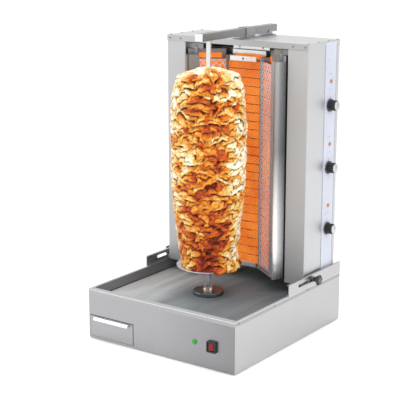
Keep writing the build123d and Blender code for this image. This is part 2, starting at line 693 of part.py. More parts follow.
# ---------------------------------------------------------------- top bar
def top_bar():
    """A square tube, closed at both ends, with a bored hole for the spit's bush."""
    bar = block(both(BAR_HALF), (BAR_FRONT, BAR_BACK), BAR_Z)
    hollow = block(both(BAR_HALF - BAR_WALL), (BAR_FRONT + 2, BAR_BACK - 2),
                   (BAR_Z[0] + BAR_WALL, BAR_Z[1] - BAR_WALL))
    return bar - hollow - rod_z(0, SPIT_Y, 7.5, 800, 900)


def spit_bush():
    bush = rod_z(0, SPIT_Y, 7.5, BAR_Z[0], BAR_Z[1]) + rod_z(0, SPIT_Y, 9.5, BAR_Z[0] - 3.5, BAR_Z[0])
    return bush - rod_z(0, SPIT_Y, JOURNAL_R + RUNNING, 800, 900)


# ---------------------------------------------------------------- all nodes
nodes = {
    "base_front_panel": base_front_panel(),
    "base_side_right": base_side_right(),
    "base_side_left": flip(base_side_right()),
    "base_back_panel": base_back_panel(),
    "base_bottom_plate": base_bottom_plate(),
    "drip_pan": drip_pan(),
    "rubber_feet": rubber_feet(),
    "base_screws": base_screws(),
    "slide_rail_right": slide_rail_right(),
    "slide_rail_left": flip(slide_rail_right()),
    "drawer_runners": drawer_runners(),
    "bearing_housing": bearing_housing(),
    "motor_bracket": motor_bracket(),
    "gear_motor": gear_motor(),
    "terminal_block": terminal_block(),
    "cable_gland": cable_gland(),
    "switch_bezel": switch_bezel(),
    "rocker": rocker(),
    "power_lamp": power_lamp(),
    "drawer_front": drawer_front(),
    "drawer_tray": drawer_tray(),
    "drive_gear": drive_gear(),
    "motor_pinion": motor_pinion(),
    "drive_shaft": drive_shaft(),
    "drive_disc": drive_disc(),
    "spit_socket": spit_socket(),
    "socket_screw": socket_screw(),
    "spit_rod": spit_rod(),
    "meat_plate": meat_plate(),
    "meat_stack": meat_stack(),
    "side_housing_left": side_housing_left(),
    "side_housing_right": side_housing_right(),
    "cabinet_back": cabinet_back(),
    "cabinet_cross_member": cabinet_cross_member(),
    "top_cover": top_cover(),
    "heater_brackets": heater_brackets(),
    "reflector_return_right": reflector_return_right(),
    "reflector_return_left": flip(reflector_return_right()),
    "control_strip": control_strip(),
    "heat_lamps": heat_lamps(),
    "heat_regulators": heat_regulators(),
    "slide_runners": slide_runners(),
    "clamp_knob_right": clamp_knob_right(),
    "clamp_knob_left": flip(clamp_knob_right()),
    "bar_clips": bar_clips(),
    "cabinet_screws": cabinet_screws(),
    "top_bar": top_bar(),
    "spit_bush": spit_bush(),
}
for name, z in KNOB_Z.items():
    nodes[f"heat_knob_{name}"] = heat_knob(z)

panel_poses = {"center": Pos(0, PANEL_FRONT, 0), "right": wing_pose(1), "left": wing_pose(-1)}
slots = {"center": both(WINDOW_HALF - GAP), "right": (-53.6, -42.0), "left": (-25.0, 42.0)}
wing_inner = WING_HALF - THIN - GAP
spans = {
    "center": both(PANEL_HALF - THIN - GAP),
    "right": (-wing_inner, MESH_END),
    "left": (-MESH_END, wing_inner),
}
for name, pose in panel_poses.items():
    half = PANEL_HALF if name == "center" else WING_HALF
    nodes[f"heater_tray_{name}"] = pose * heater_tray(half)
    nodes[f"heating_elements_{name}"] = pose * heating_elements(spans[name], slots[name])
    nodes[f"mesh_guard_{name}"] = pose * mesh_guard(spans[name])

for name, part in nodes.items():
    export_step(part, f"parts/{name}.step")
print(len(nodes), "nodes")
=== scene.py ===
"""Looks of the vertical rotisserie broiler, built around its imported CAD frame. Metres, +Z up."""
import json
import math

import bmesh
import bpy
import numpy as np
from mathutils import Matrix, Vector


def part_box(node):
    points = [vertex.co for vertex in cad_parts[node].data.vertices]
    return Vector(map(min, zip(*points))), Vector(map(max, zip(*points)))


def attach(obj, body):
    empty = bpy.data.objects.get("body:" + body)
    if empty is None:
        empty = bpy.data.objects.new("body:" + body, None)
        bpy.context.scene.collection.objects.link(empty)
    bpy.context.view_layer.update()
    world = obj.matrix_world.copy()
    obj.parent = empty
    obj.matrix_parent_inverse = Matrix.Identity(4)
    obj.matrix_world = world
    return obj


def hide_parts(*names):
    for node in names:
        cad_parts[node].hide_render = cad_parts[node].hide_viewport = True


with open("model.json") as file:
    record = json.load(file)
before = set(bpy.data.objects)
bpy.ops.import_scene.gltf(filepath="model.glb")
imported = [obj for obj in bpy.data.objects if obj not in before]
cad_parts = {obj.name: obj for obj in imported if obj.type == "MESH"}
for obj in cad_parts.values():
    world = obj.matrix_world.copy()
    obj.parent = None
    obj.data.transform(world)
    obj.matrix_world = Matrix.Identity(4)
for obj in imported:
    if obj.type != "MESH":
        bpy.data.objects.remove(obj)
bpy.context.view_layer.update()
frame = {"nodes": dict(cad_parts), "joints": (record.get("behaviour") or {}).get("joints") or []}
nodes = frame["nodes"]
joints = {joint["name"]: joint for joint in frame["joints"]}
scene = bpy.context.scene
MM = 0.001

SPIT = Vector(joints["spit_spin"]["pos_m"][:2] + [0.0])

# ---------------------------------------------------------------- camera, light and floor
CAMERA_AZIMUTH = math.radians(35.73)
CAMERA_RISE = math.radians(13.72)
CAMERA_DISTANCE = 3.2866
CAMERA_AIM = Vector((0.0, -0.0839, 0.4004))
CAMERA_LENS = 106.4


def add_camera():
    away = Vector((math.sin(CAMERA_AZIMUTH) * math.cos(CAMERA_RISE),
                   -math.cos(CAMERA_AZIMUTH) * math.cos(CAMERA_RISE), math.sin(CAMERA_RISE)))
    data = bpy.data.cameras.new("camera")
    data.lens = CAMERA_LENS
    data.sensor_width = 36.0
    camera = bpy.data.objects.new("camera", data)
    camera.location = CAMERA_AIM + away * CAMERA_DISTANCE
    camera.rotation_euler = (-away).to_track_quat("-Z", "Y").to_euler()
    scene.collection.objects.link(camera)
    scene.camera = camera


def add_area(name, place, aim, size, power, colour=(1.0, 1.0, 1.0)):
    data = bpy.data.lights.new(name, "AREA")
    data.shape = "RECTANGLE"
    data.size, data.size_y = size
    data.energy = power
    data.color = colour
    lamp = bpy.data.objects.new(name, data)
    lamp.location = place
    lamp.rotation_euler = (Vector(aim) - Vector(place)).to_track_quat("-Z", "Y").to_euler()
    scene.collection.objects.link(lamp)


def add_studio():
    world = bpy.data.worlds.new("studio")
    world.use_nodes = True
    world.node_tree.nodes["Background"].inputs["Color"].default_value = (1.0, 1.0, 1.0, 1.0)
    world.node_tree.nodes["Background"].inputs["Strength"].default_value = 1.0
    scene.world = world
    middle = (0.0, 0.0, 0.45)
    add_area("key_left", (-2.3, -1.7, 1.9), middle, (1.4, 2.2), 22)
    add_area("fill_right", (2.4, -0.6, 1.7), middle, (1.2, 2.0), 14)
    add_area("overhead", (0.0, 0.2, 3.0), middle, (2.4, 2.4), 34)
    scene.view_settings.view_transform = "Standard"


# ---------------------------------------------------------------- materials
TILE_FOOT = 0.170
TILE_PITCH = 0.0249
PAN_HALF_WIDTH = 0.2425         # just past the inner faces of the basin's walls
PAN_HALF_DEPTH = 0.2595
PAN_BELOW = 0.1                 # two levels past the whole pan, below and above
PAN_ABOVE = 0.2
PAN_CREASE_TOP = 0.1185
PAN_RIM_FOOT = 0.1455           # the skirt is below it and the flat top of the rim above
PAN_EDGE = 1.1 * MM             # the painted highlight along the top of the skirt
NOSE_FRONT = 0.056              # y of the nose's fold, and of about where the housing starts
NOSE_BACK = 0.084
NOSE_FOOT = 0.16
NOSE_TOP = 0.78
HOUSING_FRONT = 0.0875          # y just behind front faces with painted shade (housing, cover) and painted highlights (bar end, drawer lip)
COVER_FRONT = 0.0865
BAR_FRONT = -0.0885
DRAWER_LIP = -0.2782
COOL = (1.0, 1.0, 1.03)


class Shader:
    """A Principled material with short calls for the nodes that drive it."""

    def __init__(self, name, colour, roughness, **values):
        self.material = bpy.data.materials.new(name)
        self.material.use_nodes = True
        self.tree = self.material.node_tree
        self.surface = self.tree.nodes["Principled BSDF"]
        self.surface.inputs["Base Color"].default_value = (*colour, 1.0)
        self.surface.inputs["Roughness"].default_value = roughness
        for socket, value in values.items():
            self.surface.inputs[socket.replace("_", " ")].default_value = value
        self.place = self.tree.nodes.new("ShaderNodeTexCoord").outputs["Object"]

    def link(self, source, target):
        self.tree.links.new(source, target)

    def stretched(self, scale):
        mapping = self.tree.nodes.new("ShaderNodeMapping")
        mapping.inputs["Scale"].default_value = scale
        self.link(self.place, mapping.inputs["Vector"])
        return mapping.outputs["Vector"]

    def noise(self, scale=(1, 1, 1), fine=1.0, detail=3.0, rough=0.55, warp=0.0):
        node = self.tree.nodes.new("ShaderNodeTexNoise")
        node.inputs["Scale"].default_value = fine
        node.inputs["Detail"].default_value = detail
        node.inputs["Roughness"].default_value = rough
        node.inputs["Distortion"].default_value = warp
        self.link(self.stretched(scale), node.inputs["Vector"])
        return node.outputs["Fac"]

    def spread(self, source, low, high, start=0.3, end=0.7):
        node = self.tree.nodes.new("ShaderNodeMapRange")
        node.inputs["From Min"].default_value = start
        node.inputs["From Max"].default_value = end
        node.inputs["To Min"].default_value = low
        node.inputs["To Max"].default_value = high
        self.link(source, node.inputs["Value"])
        return node.outputs["Result"]

    def ramp(self, source, stops):
        node = self.tree.nodes.new("ShaderNodeValToRGB")
        ramp = node.color_ramp
        while len(ramp.elements) < len(stops):
            ramp.elements.new(0.5)
        for element, (place, colour) in zip(ramp.elements, stops):
            element.position = place
            element.color = (*colour, 1.0)
        self.link(source, node.inputs["Fac"])
        return node.outputs["Color"]

    def mix(self, factor, first, second, kind="MIX"):
        node = self.tree.nodes.new("ShaderNodeMix")
        node.data_type = "RGBA"
        node.blend_type = kind
        for source, socket in ((factor, 0), (first, 6), (second, 7)):
            if isinstance(source, tuple):
                node.inputs[socket].default_value = (*source, 1.0)
            elif isinstance(source, float):
                node.inputs[socket].default_value = source
            else:
                self.link(source, node.inputs[socket])
        return node.outputs[2]

    def join(self, first, second, kind="ADD"):
        node = self.tree.nodes.new("ShaderNodeMath")
        node.operation = kind
        for source, socket in ((first, 0), (second, 1)):
            if isinstance(source, float):
                node.inputs[socket].default_value = source
            else:
                self.link(source, node.inputs[socket])
        return node.outputs[0]

    def axes(self):
        """The x, y and z of the row frame, as three sockets."""
        split = self.tree.nodes.new("ShaderNodeSeparateXYZ")
        self.link(self.place, split.inputs["Vector"])
        return split.outputs

    def within(self, *limits):
        """One inside the given (axis, low, high) limits of the row frame, nought outside."""
        place = self.axes()
        total = None
        for axis, low, high in limits:
            above = self.join(place[axis], float(low), "GREATER_THAN")
            below = self.join(place[axis], float(high), "LESS_THAN")
            inside = self.join(above, below, "MULTIPLY")
            total = inside if total is None else self.join(total, inside, "MULTIPLY")
        return total

    def attribute(self, name):
        node = self.tree.nodes.new("ShaderNodeAttribute")
        node.attribute_name = name
        return node.outputs["Fac"]

    def colour(self, source):
        self.link(source, self.surface.inputs["Base Color"])

    def roughness(self, source):
        self.link(source, self.surface.inputs["Roughness"])

    def bump(self, source, distance, strength=1.0, edges=0.0):
        node = self.tree.nodes.new("ShaderNodeBump")
        node.inputs["Distance"].default_value = distance
        node.inputs["Strength"].default_value = strength
        self.link(source, node.inputs["Height"])
        if edges:
            bevel = self.tree.nodes.new("ShaderNodeBevel")
            bevel.samples = 4
            bevel.inputs["Radius"].default_value = edges
            self.link(bevel.outputs["Normal"], node.inputs["Normal"])
        self.link(node.outputs["Normal"], self.surface.inputs["Normal"])


def greys(*stops):
    """The colour stops of a ramp, from (place, tone) pairs."""
    return [(place, (tone,) * 3) for place, tone in stops]


def ahead_of(y):
    """The limits, for Shader.within, of all that is in front of y."""
    return ((1, -1.0, y),)


def brushed(name, tone, run, rough=(0.26, 0.4), edges=1.4 * MM, tint=(1.0, 1.0, 1.0), shade=None,
            metal=1.0, quiet=1.0, painted_shade_fade=None):
    """Satin steel, scratched along run.

    shade is the (limits, tone, metal) of a part with a painted highlight where its tone is above one
    and painted shade where it is below one. fade is an (axis, from, to, tone, tone) change of tone along an
    axis, painted shade. quiet scales the scratches.
    """
    shader = Shader(name, (tone, tone, tone), rough[0], Metallic=metal)
    across = {"x": (6, 900, 900), "y": (900, 6, 900), "z": (900, 900, 6)}[run]
    grain = shader.noise(across, 1.0, 2.0, 0.6)
    marks = shader.noise((1, 1, 1), 9.0, 4.0, 0.6, 0.4)
    dark = tuple(tone * (1 - 0.05 * quiet) * part for part in tint)
    light = tuple(min(1.0, tone * (1 + 0.04 * quiet) * part) for part in tint)
    steel = shader.mix(shader.spread(grain, 0.0, 1.0), dark, light)
    # painted shade: the tone changes along an axis
    if painted_shade_fade:
        axis, start, end, first, last = painted_shade_fade
        share = shader.spread(shader.axes()[axis], 0.0, 1.0, start, end)
        steel = shader.mix(1.0, steel, shader.mix(share, (first,) * 3, (last,) * 3), "MULTIPLY")
    # painted light on the part within the limits: a highlight where factor is above one, shade where below
    if shade:
        limits, factor, dull = shade
        part = shader.within(*limits)
        steel = shader.mix(part, steel, shader.mix(1.0, steel, (factor,) * 3, "MULTIPLY"))
        shader.link(shader.spread(part, metal, dull, 0.0, 1.0), shader.surface.inputs["Metallic"])
    shader.colour(steel)
    fine = shader.spread(grain, rough[0], rough[1])
    shader.roughness(shader.join(fine, shader.spread(marks, -0.03, 0.06)))
    shader.bump(grain, 0.02 * MM, 0.4 * quiet, edges)
    return shader.material


def turned_metal(name, tone, centre, rough=(0.18, 0.32), tint=(1.0, 1.0, 1.0)):
    """Lathe-turned metal: fine rings round an upright axis."""
    shader = Shader(name, (tone, tone, tone), rough[0], Metallic=1.0)
    mapping = shader.tree.nodes.new("ShaderNodeMapping")
    mapping.inputs["Location"].default_value = (-centre[0], -centre[1], 0.0)
    shader.link(shader.place, mapping.inputs["Vector"])
    rings = shader.tree.nodes.new("ShaderNodeTexWave")
    rings.wave_type = "RINGS"
    rings.rings_direction = "Z"
    rings.inputs["Scale"].default_value = 260.0
    rings.inputs["Distortion"].default_value = 1.5
    rings.inputs["Detail"].default_value = 3.0
    rings.inputs["Detail Scale"].default_value = 0.4
    shader.link(mapping.outputs["Vector"], rings.inputs["Vector"])
    stain = shader.noise((1, 1, 1), 30.0, 4.0, 0.6)
    dark = tuple(tone * 0.82 * part for part in tint)
    light = tuple(min(1.0, tone * 1.08 * part) for part in tint)
    shader.colour(shader.mix(shader.spread(stain, 0.0, 1.0), dark, light))
    shader.roughness(shader.join(shader.spread(rings.outputs["Fac"], *rough, 0.0, 1.0),
                                 shader.spread(stain, -0.03, 0.08)))
    shader.bump(rings.outputs["Fac"], 0.02 * MM, 0.5, 0.4 * MM)
    return shader.material


def polished(name, tone, rough=0.07):
    """Bright polished steel with faint waviness and wiping marks."""
    shader = Shader(name, (tone, tone, tone * 1.01), rough, Metallic=1.0)
    haze = shader.noise((3, 3, 60), 4.0, 4.0, 0.6)
    wave = shader.noise((1, 1, 0.3), 22.0, 1.0, 0.4)
    shader.colour(shader.mix(shader.spread(haze, 0.0, 1.0), (tone * 0.95,) * 3, (tone,) * 3))
    shader.roughness(shader.spread(haze, rough, rough + 0.12))
    shader.bump(wave, 0.25 * MM, 0.35, 0.4 * MM)
    return shader.material


def pan_with_painted_light(name):
    """The pan: its skirt like the case, its rim and basin duller.

    The basin is lighter on the left as painted reflection, with streaks in it, and dark in the crease round its
    floor as painted shade. A painted highlight runs along the top of the skirt.
    """
    shader = Shader(name, (0.36, 0.36, 0.37), 0.3, Metallic=1.0, Specular_IOR_Level=0.0)

    def inside(inset):
        """One inside the basin's left, right and front walls by inset, nought elsewhere."""
        return shader.within((0, inset - PAN_HALF_WIDTH, PAN_HALF_WIDTH - inset),
                             (1, inset - PAN_HALF_DEPTH, PAN_HALF_DEPTH))

    basin = inside(0.0)
    # painted reflection: lighter on the left, darker on the right
    across = shader.spread(shader.axes()[0], 0.0, 1.0, -PAN_HALF_WIDTH, 0.05)
    streak = shader.noise((22, 3, 3), 1.0, 2.0, 0.5)
    film_of_oil = shader.noise((1, 1, 1), 8.0, 4.0, 0.6, 0.5)
    left = shader.mix(shader.spread(streak, 0.0, 1.0), (0.34, 0.35, 0.355), (0.64, 0.66, 0.67))
    right = shader.mix(shader.spread(streak, 0.0, 1.0), (0.15, 0.168, 0.175), (0.2, 0.22, 0.23))
    flat = inside(1 * MM)
    floor = shader.mix(flat, (0.2, 0.21, 0.22), shader.mix(across, left, right))
    # painted shade in the crease round the floor
    beside_wall = shader.join(1.0, inside(3 * MM), "SUBTRACT")
    painted_crease_shade = shader.join(beside_wall, shader.within((2, PAN_BELOW, PAN_CREASE_TOP)), "MULTIPLY")
    floor = shader.mix(painted_crease_shade, floor, (0.05, 0.05, 0.052))
    skirt = shader.mix(shader.spread(film_of_oil, 0.0, 1.0), (0.35, 0.35, 0.36), (0.38, 0.38, 0.39))
    # painted highlight along the top of the skirt
    edge = shader.within((2, PAN_RIM_FOOT - PAN_EDGE, PAN_RIM_FOOT))
    skirt = shader.mix(edge, skirt, (0.85, 0.85, 0.86))
    rim = shader.within((2, PAN_RIM_FOOT, PAN_ABOVE))
    shader.colour(shader.mix(basin, shader.mix(rim, skirt, (0.4, 0.41, 0.42)), floor))
    dull = shader.join(basin, rim, "MAXIMUM")
    shader.link(shader.spread(dull, 1.0, 0.08, 0.0, 1.0), shader.surface.inputs["Metallic"])
    shader.roughness(shader.spread(film_of_oil, 0.24, 0.36))
    shader.bump(shader.noise((6, 300, 300), 1.0, 2.0, 0.5), 0.01 * MM, 0.3, 0.3 * MM)
    return shader.material


def nose_with_painted_reflection(name):
    """The reflector's nose: bright at the fold and low down as painted reflection, and darker towards the
    housing and above the middle as painted shade.

    The strip beside the mesh is dull.
    """
    shader = Shader(name, (0.4, 0.4, 0.4), 0.24, Metallic=0.8)
    place = shader.axes()
    haze = shader.noise((40, 40, 3), 4.0, 3.0, 0.6)
    # painted reflection and painted shade, by place across the nose and up it
    back = shader.ramp(shader.spread(place[1], 0.0, 1.0, NOSE_FRONT, NOSE_BACK),
                       greys((0.0, 0.6), (0.2, 0.75), (0.5, 0.42), (1.0, 0.2)))
    upward = shader.ramp(shader.spread(place[2], 0.0, 1.0, NOSE_FOOT, NOSE_TOP),
                         greys((0.0, 0.75), (0.14, 1.35), (0.3, 1.25), (0.6, 0.4), (1.0, 0.62)))
    beside = shader.within((0, 0.08, 0.1472), (1, 0.062, 0.09))
    steel = shader.mix(beside, shader.mix(1.0, back, upward, "MULTIPLY"), (0.36, 0.41, 0.455))
    cloud = shader.mix(shader.spread(haze, 0.0, 1.0), (0.92,) * 3, (1.0,) * 3)
    shader.colour(shader.mix(1.0, steel, cloud, "MULTIPLY"))
    shader.link(shader.spread(beside, 0.8, 0.0, 0.0, 1.0), shader.surface.inputs["Metallic"])
    shader.roughness(shader.spread(haze, 0.22, 0.34))
    shader.bump(haze, 0.02 * MM, 0.2, 0.4 * MM)
    return shader.material


def moulded(name, colour, rough=0.42, grain=1400.0, depth=0.05 * MM, **values):
    """Moulded plastic or rubber with a fine pebble and slight scuffs."""
    shader = Shader(name, colour, rough, **values)
    pebble = shader.noise((1, 1, 1), grain, 2.0, 0.5)
    scuff = shader.noise((1, 1, 1), 60.0, 5.0, 0.65)
    lighter = tuple(min(1.0, part * 1.35 + 0.006) for part in colour)
    shader.colour(shader.mix(shader.spread(scuff, 0.0, 1.0, 0.45, 0.75), colour, lighter))
    shader.roughness(shader.spread(scuff, rough - 0.06, rough + 0.12))
    shader.bump(pebble, depth, 0.6, 0.3 * MM)
    return shader.material


def lens(name, colour, glow, lit=None):
    """A small moulded indicator or rocker that glows a little from inside.

    lit is the limits of a clear part between black flanks.
    """
    shader = Shader(name, colour, 0.18, Coat_Weight=0.15, Coat_Roughness=0.08, Specular_IOR_Level=0.25)
    ripple = shader.noise((1, 1, 1), 320.0, 2.0, 0.5)
    tinted = shader.mix(shader.spread(ripple, 0.0, 1.0), tuple(part * 0.55 for part in colour), colour)
    shader.surface.inputs["Emission Color"].default_value = (*colour, 1.0)
    shader.surface.inputs["Emission Strength"].default_value = glow
    if lit:
        clear = shader.within(*lit)
        tinted = shader.mix(clear, (0.012, 0.012, 0.014), tinted)
        shader.link(shader.spread(clear, 0.0, glow, 0.0, 1.0), shader.surface.inputs["Emission Strength"])
    shader.colour(tinted)
    shader.roughness(shader.spread(ripple, 0.12, 0.26))
    shader.bump(ripple, 0.05 * MM, 0.4)
    return shader.material


def glowing_tiles(name):
    """Ceramic at orange heat, uneven from place to place, with darker joints between the rows of tiles."""
    shader = Shader(name, (0.5, 0.16, 0.05), 0.7)
    patch = shader.noise((1, 1, 1), 14.0, 3.0, 0.55)
    fine = shader.noise((1, 1, 1), 420.0, 3.0, 0.6)
    heat = shader.join(shader.spread(patch, 0.0, 0.7), shader.spread(fine, 0.0, 0.3))
    shade = shader.ramp(heat, [(0.0, (0.6, 0.1, 0.004)), (0.5, (0.78, 0.19, 0.016)),
                               (1.0, (0.92, 0.3, 0.04))])
    upright = shader.axes()[2]
    wander = shader.spread(shader.noise((1, 1, 0.2), 45.0, 2.0, 0.5), -1.1 * MM, 1.1 * MM)
    level = shader.join(shader.join(upright, -TILE_FOOT), wander)
    row = shader.join(shader.join(level, TILE_PITCH, "DIVIDE"), 1.0, "MODULO")
    from_middle = shader.join(shader.join(row, -0.5), 0.0, "ABSOLUTE")
    gap = shader.spread(from_middle, 0.0, 1.0, 0.445, 0.47)
    shader.colour(shader.mix(gap, shader.mix(0.5, shade, (0.1, 0.03, 0.004)), (0.04, 0.01, 0.004)))
    shader.link(shader.mix(gap, shade, (0.16, 0.025, 0.003)), shader.surface.inputs["Emission Color"])
    shader.surface.inputs["Emission Strength"].default_value = 0.95
    shader.bump(fine, 0.3 * MM, 0.6)
    return shader.material


def film(name):
    """The pale printed film of the control strip."""
    shader = Shader(name, (0.6, 0.64, 0.78), 0.32, Coat_Weight=0.35, Coat_Roughness=0.2)
    cloud = shader.noise((1, 1, 1), 14.0, 3.0, 0.5)
    grain = shader.noise((1, 1, 1), 900.0, 1.0, 0.5)
    shader.colour(shader.mix(shader.spread(cloud, 0.0, 1.0), (0.52, 0.545, 0.64), (0.57, 0.595, 0.69)))
    shader.roughness(shader.spread(cloud, 0.26, 0.38))
    shader.bump(grain, 0.01 * MM, 0.5)
    return shader.material


def roast(name):
    """Roasted slices: pale where barely cooked, brown on the front as painted shade, dark in the folds as
    painted shade.
    """
    shader = Shader(name, (0.6, 0.3, 0.1), 0.35, Subsurface_Weight=0.05, Specular_IOR_Level=0.22)
    shader.surface.inputs["Subsurface Radius"].default_value = (0.004, 0.0015, 0.0008)
    fleck = shader.noise((1, 1, 2.0), 70.0, 5.0, 0.65, 0.8)
    speck = shader.noise((1, 1, 1), 260.0, 4.0, 0.7)
    # the tone attribute carries painted shade and painted light as well as doneness
    tone = shader.join(shader.attribute("tone"), shader.spread(fleck, -0.19, 0.17))
    base = shader.ramp(tone, [(0.0, (0.1, 0.008, 0.001)), (0.2, (0.38, 0.036, 0.002)),
                              (0.4, (0.6, 0.115, 0.006)), (0.58, (0.78, 0.29, 0.015)),
                              (0.78, (0.88, 0.6, 0.2)), (1.0, (1.0, 0.94, 0.76))])
    burnt = shader.mix(shader.spread(speck, 0.0, 0.55, 0.58, 0.8), base, (0.2, 0.04, 0.004))
    # painted shade in the folds
    shader.colour(shader.mix(shader.attribute("painted_fold_shade"), burnt, (0.05, 0.007, 0.001)))
    wet = shader.spread(fleck, 0.2, 0.5)
    shader.roughness(shader.join(wet, shader.spread(speck, -0.05, 0.12)))
    shader.bump(shader.join(fleck, shader.spread(speck, 0.0, 0.25)), 1.1 * MM, 0.7)
    return shader.material


def rough_paint(name, colour):
    """Orange-peel paint, dusty in places."""
    shader = Shader(name, colour, 0.45, Coat_Weight=0.2)
    orange_peel = shader.noise((1, 1, 1), 420.0, 2.0, 0.5)
    dust = shader.noise((1, 1, 1), 25.0, 4.0, 0.6)
    shader.colour(shader.mix(shader.spread(dust, 0.0, 0.5), colour, tuple(part + 0.06 for part in colour)))
    shader.roughness(shader.spread(dust, 0.38, 0.6))
    shader.bump(orange_peel, 0.06 * MM, 0.5, 0.5 * MM)
    return shader.material


def printed_ink(name):
    """Dark print, worn thin in specks."""
    shader = Shader(name, (0.12, 0.13, 0.17), 0.5)
    wear = shader.noise((1, 1, 1), 300.0, 3.0, 0.6)
    shader.colour(shader.mix(shader.spread(wear, 0.0, 1.0), (0.1, 0.11, 0.15), (0.2, 0.21, 0.26)))
    return shader.material


def rocker_window():
    """The limits of the middle of the rocker, clear of its black flanks."""
    low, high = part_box("rocker")
    middle, half = (low + high) / 2, (high - low) / 2
    wide, tall = half.x * 0.6, half.z * 0.82
    return (0, middle.x - wide, middle.x + wide), (2, middle.z - tall, middle.z + tall)


# The case steel comes in copies of different tone as painted light: case_x and drawer, on the front and back,
# are darker as painted shade; case_y and case_z, on the sides and housings, are lighter as if lit.
finish = {
    # painted shade: darker towards +x
    "case_x": brushed("case_along_x", 0.36, "x", tint=COOL, quiet=0.6, painted_shade_fade=(0, 0.0, 0.25, 1.0, 0.7)),
    # painted highlight on the drawer's lip
    "drawer": brushed("drawer_face", 0.36, "x", tint=COOL, quiet=0.6,
                      shade=(ahead_of(DRAWER_LIP), 2.5, 0.35)),
    "case_y": brushed("case_along_y", 0.5, "y", quiet=0.7),
    # painted shade: darker low down and on the housings' front faces
    "case_z": brushed("case_upright", 0.62, "z", (0.38, 0.52), quiet=0.7, tint=(0.99, 1.0, 1.02),
                      painted_shade_fade=(2, 0.16, 0.4, 0.92, 1.0), shade=(ahead_of(HOUSING_FRONT), 0.76, 0.45)),
    "back": brushed("back_sheet", 0.46, "z", (0.38, 0.52), quiet=0.8),
    "saddle": brushed("saddle_sheet", 0.36, "y", quiet=0.7),
    # painted shade on the cover's front flange
    "cover": brushed("cover_sheet", 0.58, "x", quiet=0.6, shade=(ahead_of(COVER_FRONT), 0.78, 1.0)),
    # painted highlight on the bar's front end
    "bar": brushed("bar_tube", 0.3, "y", quiet=0.6, shade=(ahead_of(BAR_FRONT), 2.6, 0.6)),
    "pan": pan_with_painted_light("pan_with_painted_light"),
    "tray": brushed("drawer_sheet", 0.42, "x", (0.3, 0.46)),
    "inner": brushed("inner_sheet", 0.3, "z", (0.38, 0.55), metal=0.8),
    "heater": brushed("heater_sheet", 0.42, "z", (0.45, 0.6), tint=(0.88, 1.02, 1.12), metal=0.1),
    "plain": brushed("plain_steel", 0.45, "x", (0.35, 0.5)),
    "clip": brushed("bright_clip", 0.8, "x", (0.2, 0.3)),
    "mesh": brushed("mesh_wire", 0.26, "x", (0.45, 0.6), 0.0, (1.0, 0.6, 0.42), metal=0.3),
    "wing_mesh": brushed("wing_mesh_wire", 0.72, "x", (0.45, 0.6), 0.0, (0.85, 1.0, 1.2), metal=0.0),
    # painted reflection and painted shade on the reflector's nose
    "painted_nose": nose_with_painted_reflection("nose_with_painted_reflection"),
    "rod": polished("rod_steel", 0.82, 0.14),
    "screw": polished("screw_steel", 0.3, 0.22),
    "disc": turned_metal("turned_disc", 0.2, SPIT, (0.3, 0.42), (0.86, 1.0, 1.06)),
    "plate": turned_metal("spun_plate", 0.8, SPIT, (0.25, 0.4)),
    "gear": turned_metal("cut_gear", 0.36, SPIT, (0.3, 0.5)),
    "bronze": turned_metal("bronze", 0.6, SPIT, (0.25, 0.4), (1.0, 0.72, 0.4)),
    "cast": rough_paint("cast_grey", (0.22, 0.22, 0.23)),
    "motor": rough_paint("motor_paint", (0.04, 0.045, 0.055)),
    "black": moulded("black_plastic", (0.012, 0.012, 0.014), 0.4),
    "knob": moulded("knob_plastic", (0.01, 0.01, 0.012), 0.3, 900.0, 0.02 * MM, Coat_Weight=0.3),
    "grip": polished("grip_chrome", 0.06, 0.2),
    "cap": polished("knob_cap", 0.62, 0.22),
    "rubber": moulded("rubber_pad", (0.018, 0.018, 0.018), 0.7, 700.0, 0.15 * MM),
    "regulator": moulded("regulator_ceramic", (0.75, 0.73, 0.68), 0.6, 500.0, 0.1 * MM),
    "red": lens("red_lens", (0.3, 0.004, 0.008), 0.14, rocker_window()),
    "green": lens("green_lens", (0.03, 0.32, 0.015), 0.35),
    "orange": lens("orange_lens", (0.6, 0.22, 0.06), 0.15),
    "ceramic": glowing_tiles("glowing_ceramic"),
    "film": film("strip_film"),
    "meat": roast("roast_meat"),
    "ink": printed_ink("printed_ink"),
}

node_finish = {
    "base_front_panel": "case_x", "base_side_right": "case_y", "base_side_left": "case_y",
    "base_back_panel": "case_x", "base_bottom_plate": "plain", "drip_pan": "pan", "rubber_feet": "rubber",
    "base_screws": "screw", "slide_rail_right": "case_y", "slide_rail_left": "case_y",
    "drawer_runners": "plain", "bearing_housing": "cast", "motor_bracket": "plain", "gear_motor": "motor",
    "terminal_block": "black", "cable_gland": "black", "switch_bezel": "black", "rocker": "red",
    "power_lamp": "green", "drawer_front": "drawer", "drawer_tray": "tray", "drive_gear": "gear",
    "motor_pinion": "gear", "drive_shaft": "rod", "drive_disc": "disc", "spit_socket": "rod",
    "socket_screw": "screw", "spit_rod": "rod", "meat_plate": "plate", "meat_stack": "meat",
    "side_housing_left": "case_z", "side_housing_right": "case_z", "cabinet_back": "back",
    "cabinet_cross_member": "inner", "top_cover": "cover", "heater_brackets": "clip",
    "reflector_return_right": "painted_nose", "reflector_return_left": "inner", "control_strip": "film",
    "heat_lamps": "orange", "heat_regulators": "regulator", "slide_runners": "plain",
    "clamp_knob_right": "knob", "clamp_knob_left": "knob", "bar_clips": "saddle", "cabinet_screws": "screw",
    "top_bar": "bar", "spit_bush": "bronze", "heat_knob_upper": "knob", "heat_knob_middle": "knob",
    "heat_knob_lower": "knob",
}
PANELS = ("center", "right", "left")
for panel in PANELS:
    node_finish[f"heater_tray_{panel}"] = "heater"
    node_finish[f"heating_elements_{panel}"] = "ceramic"
    node_finish[f"mesh_guard_{panel}"] = "mesh"
node_finish["heater_tray_left"] = "inner"


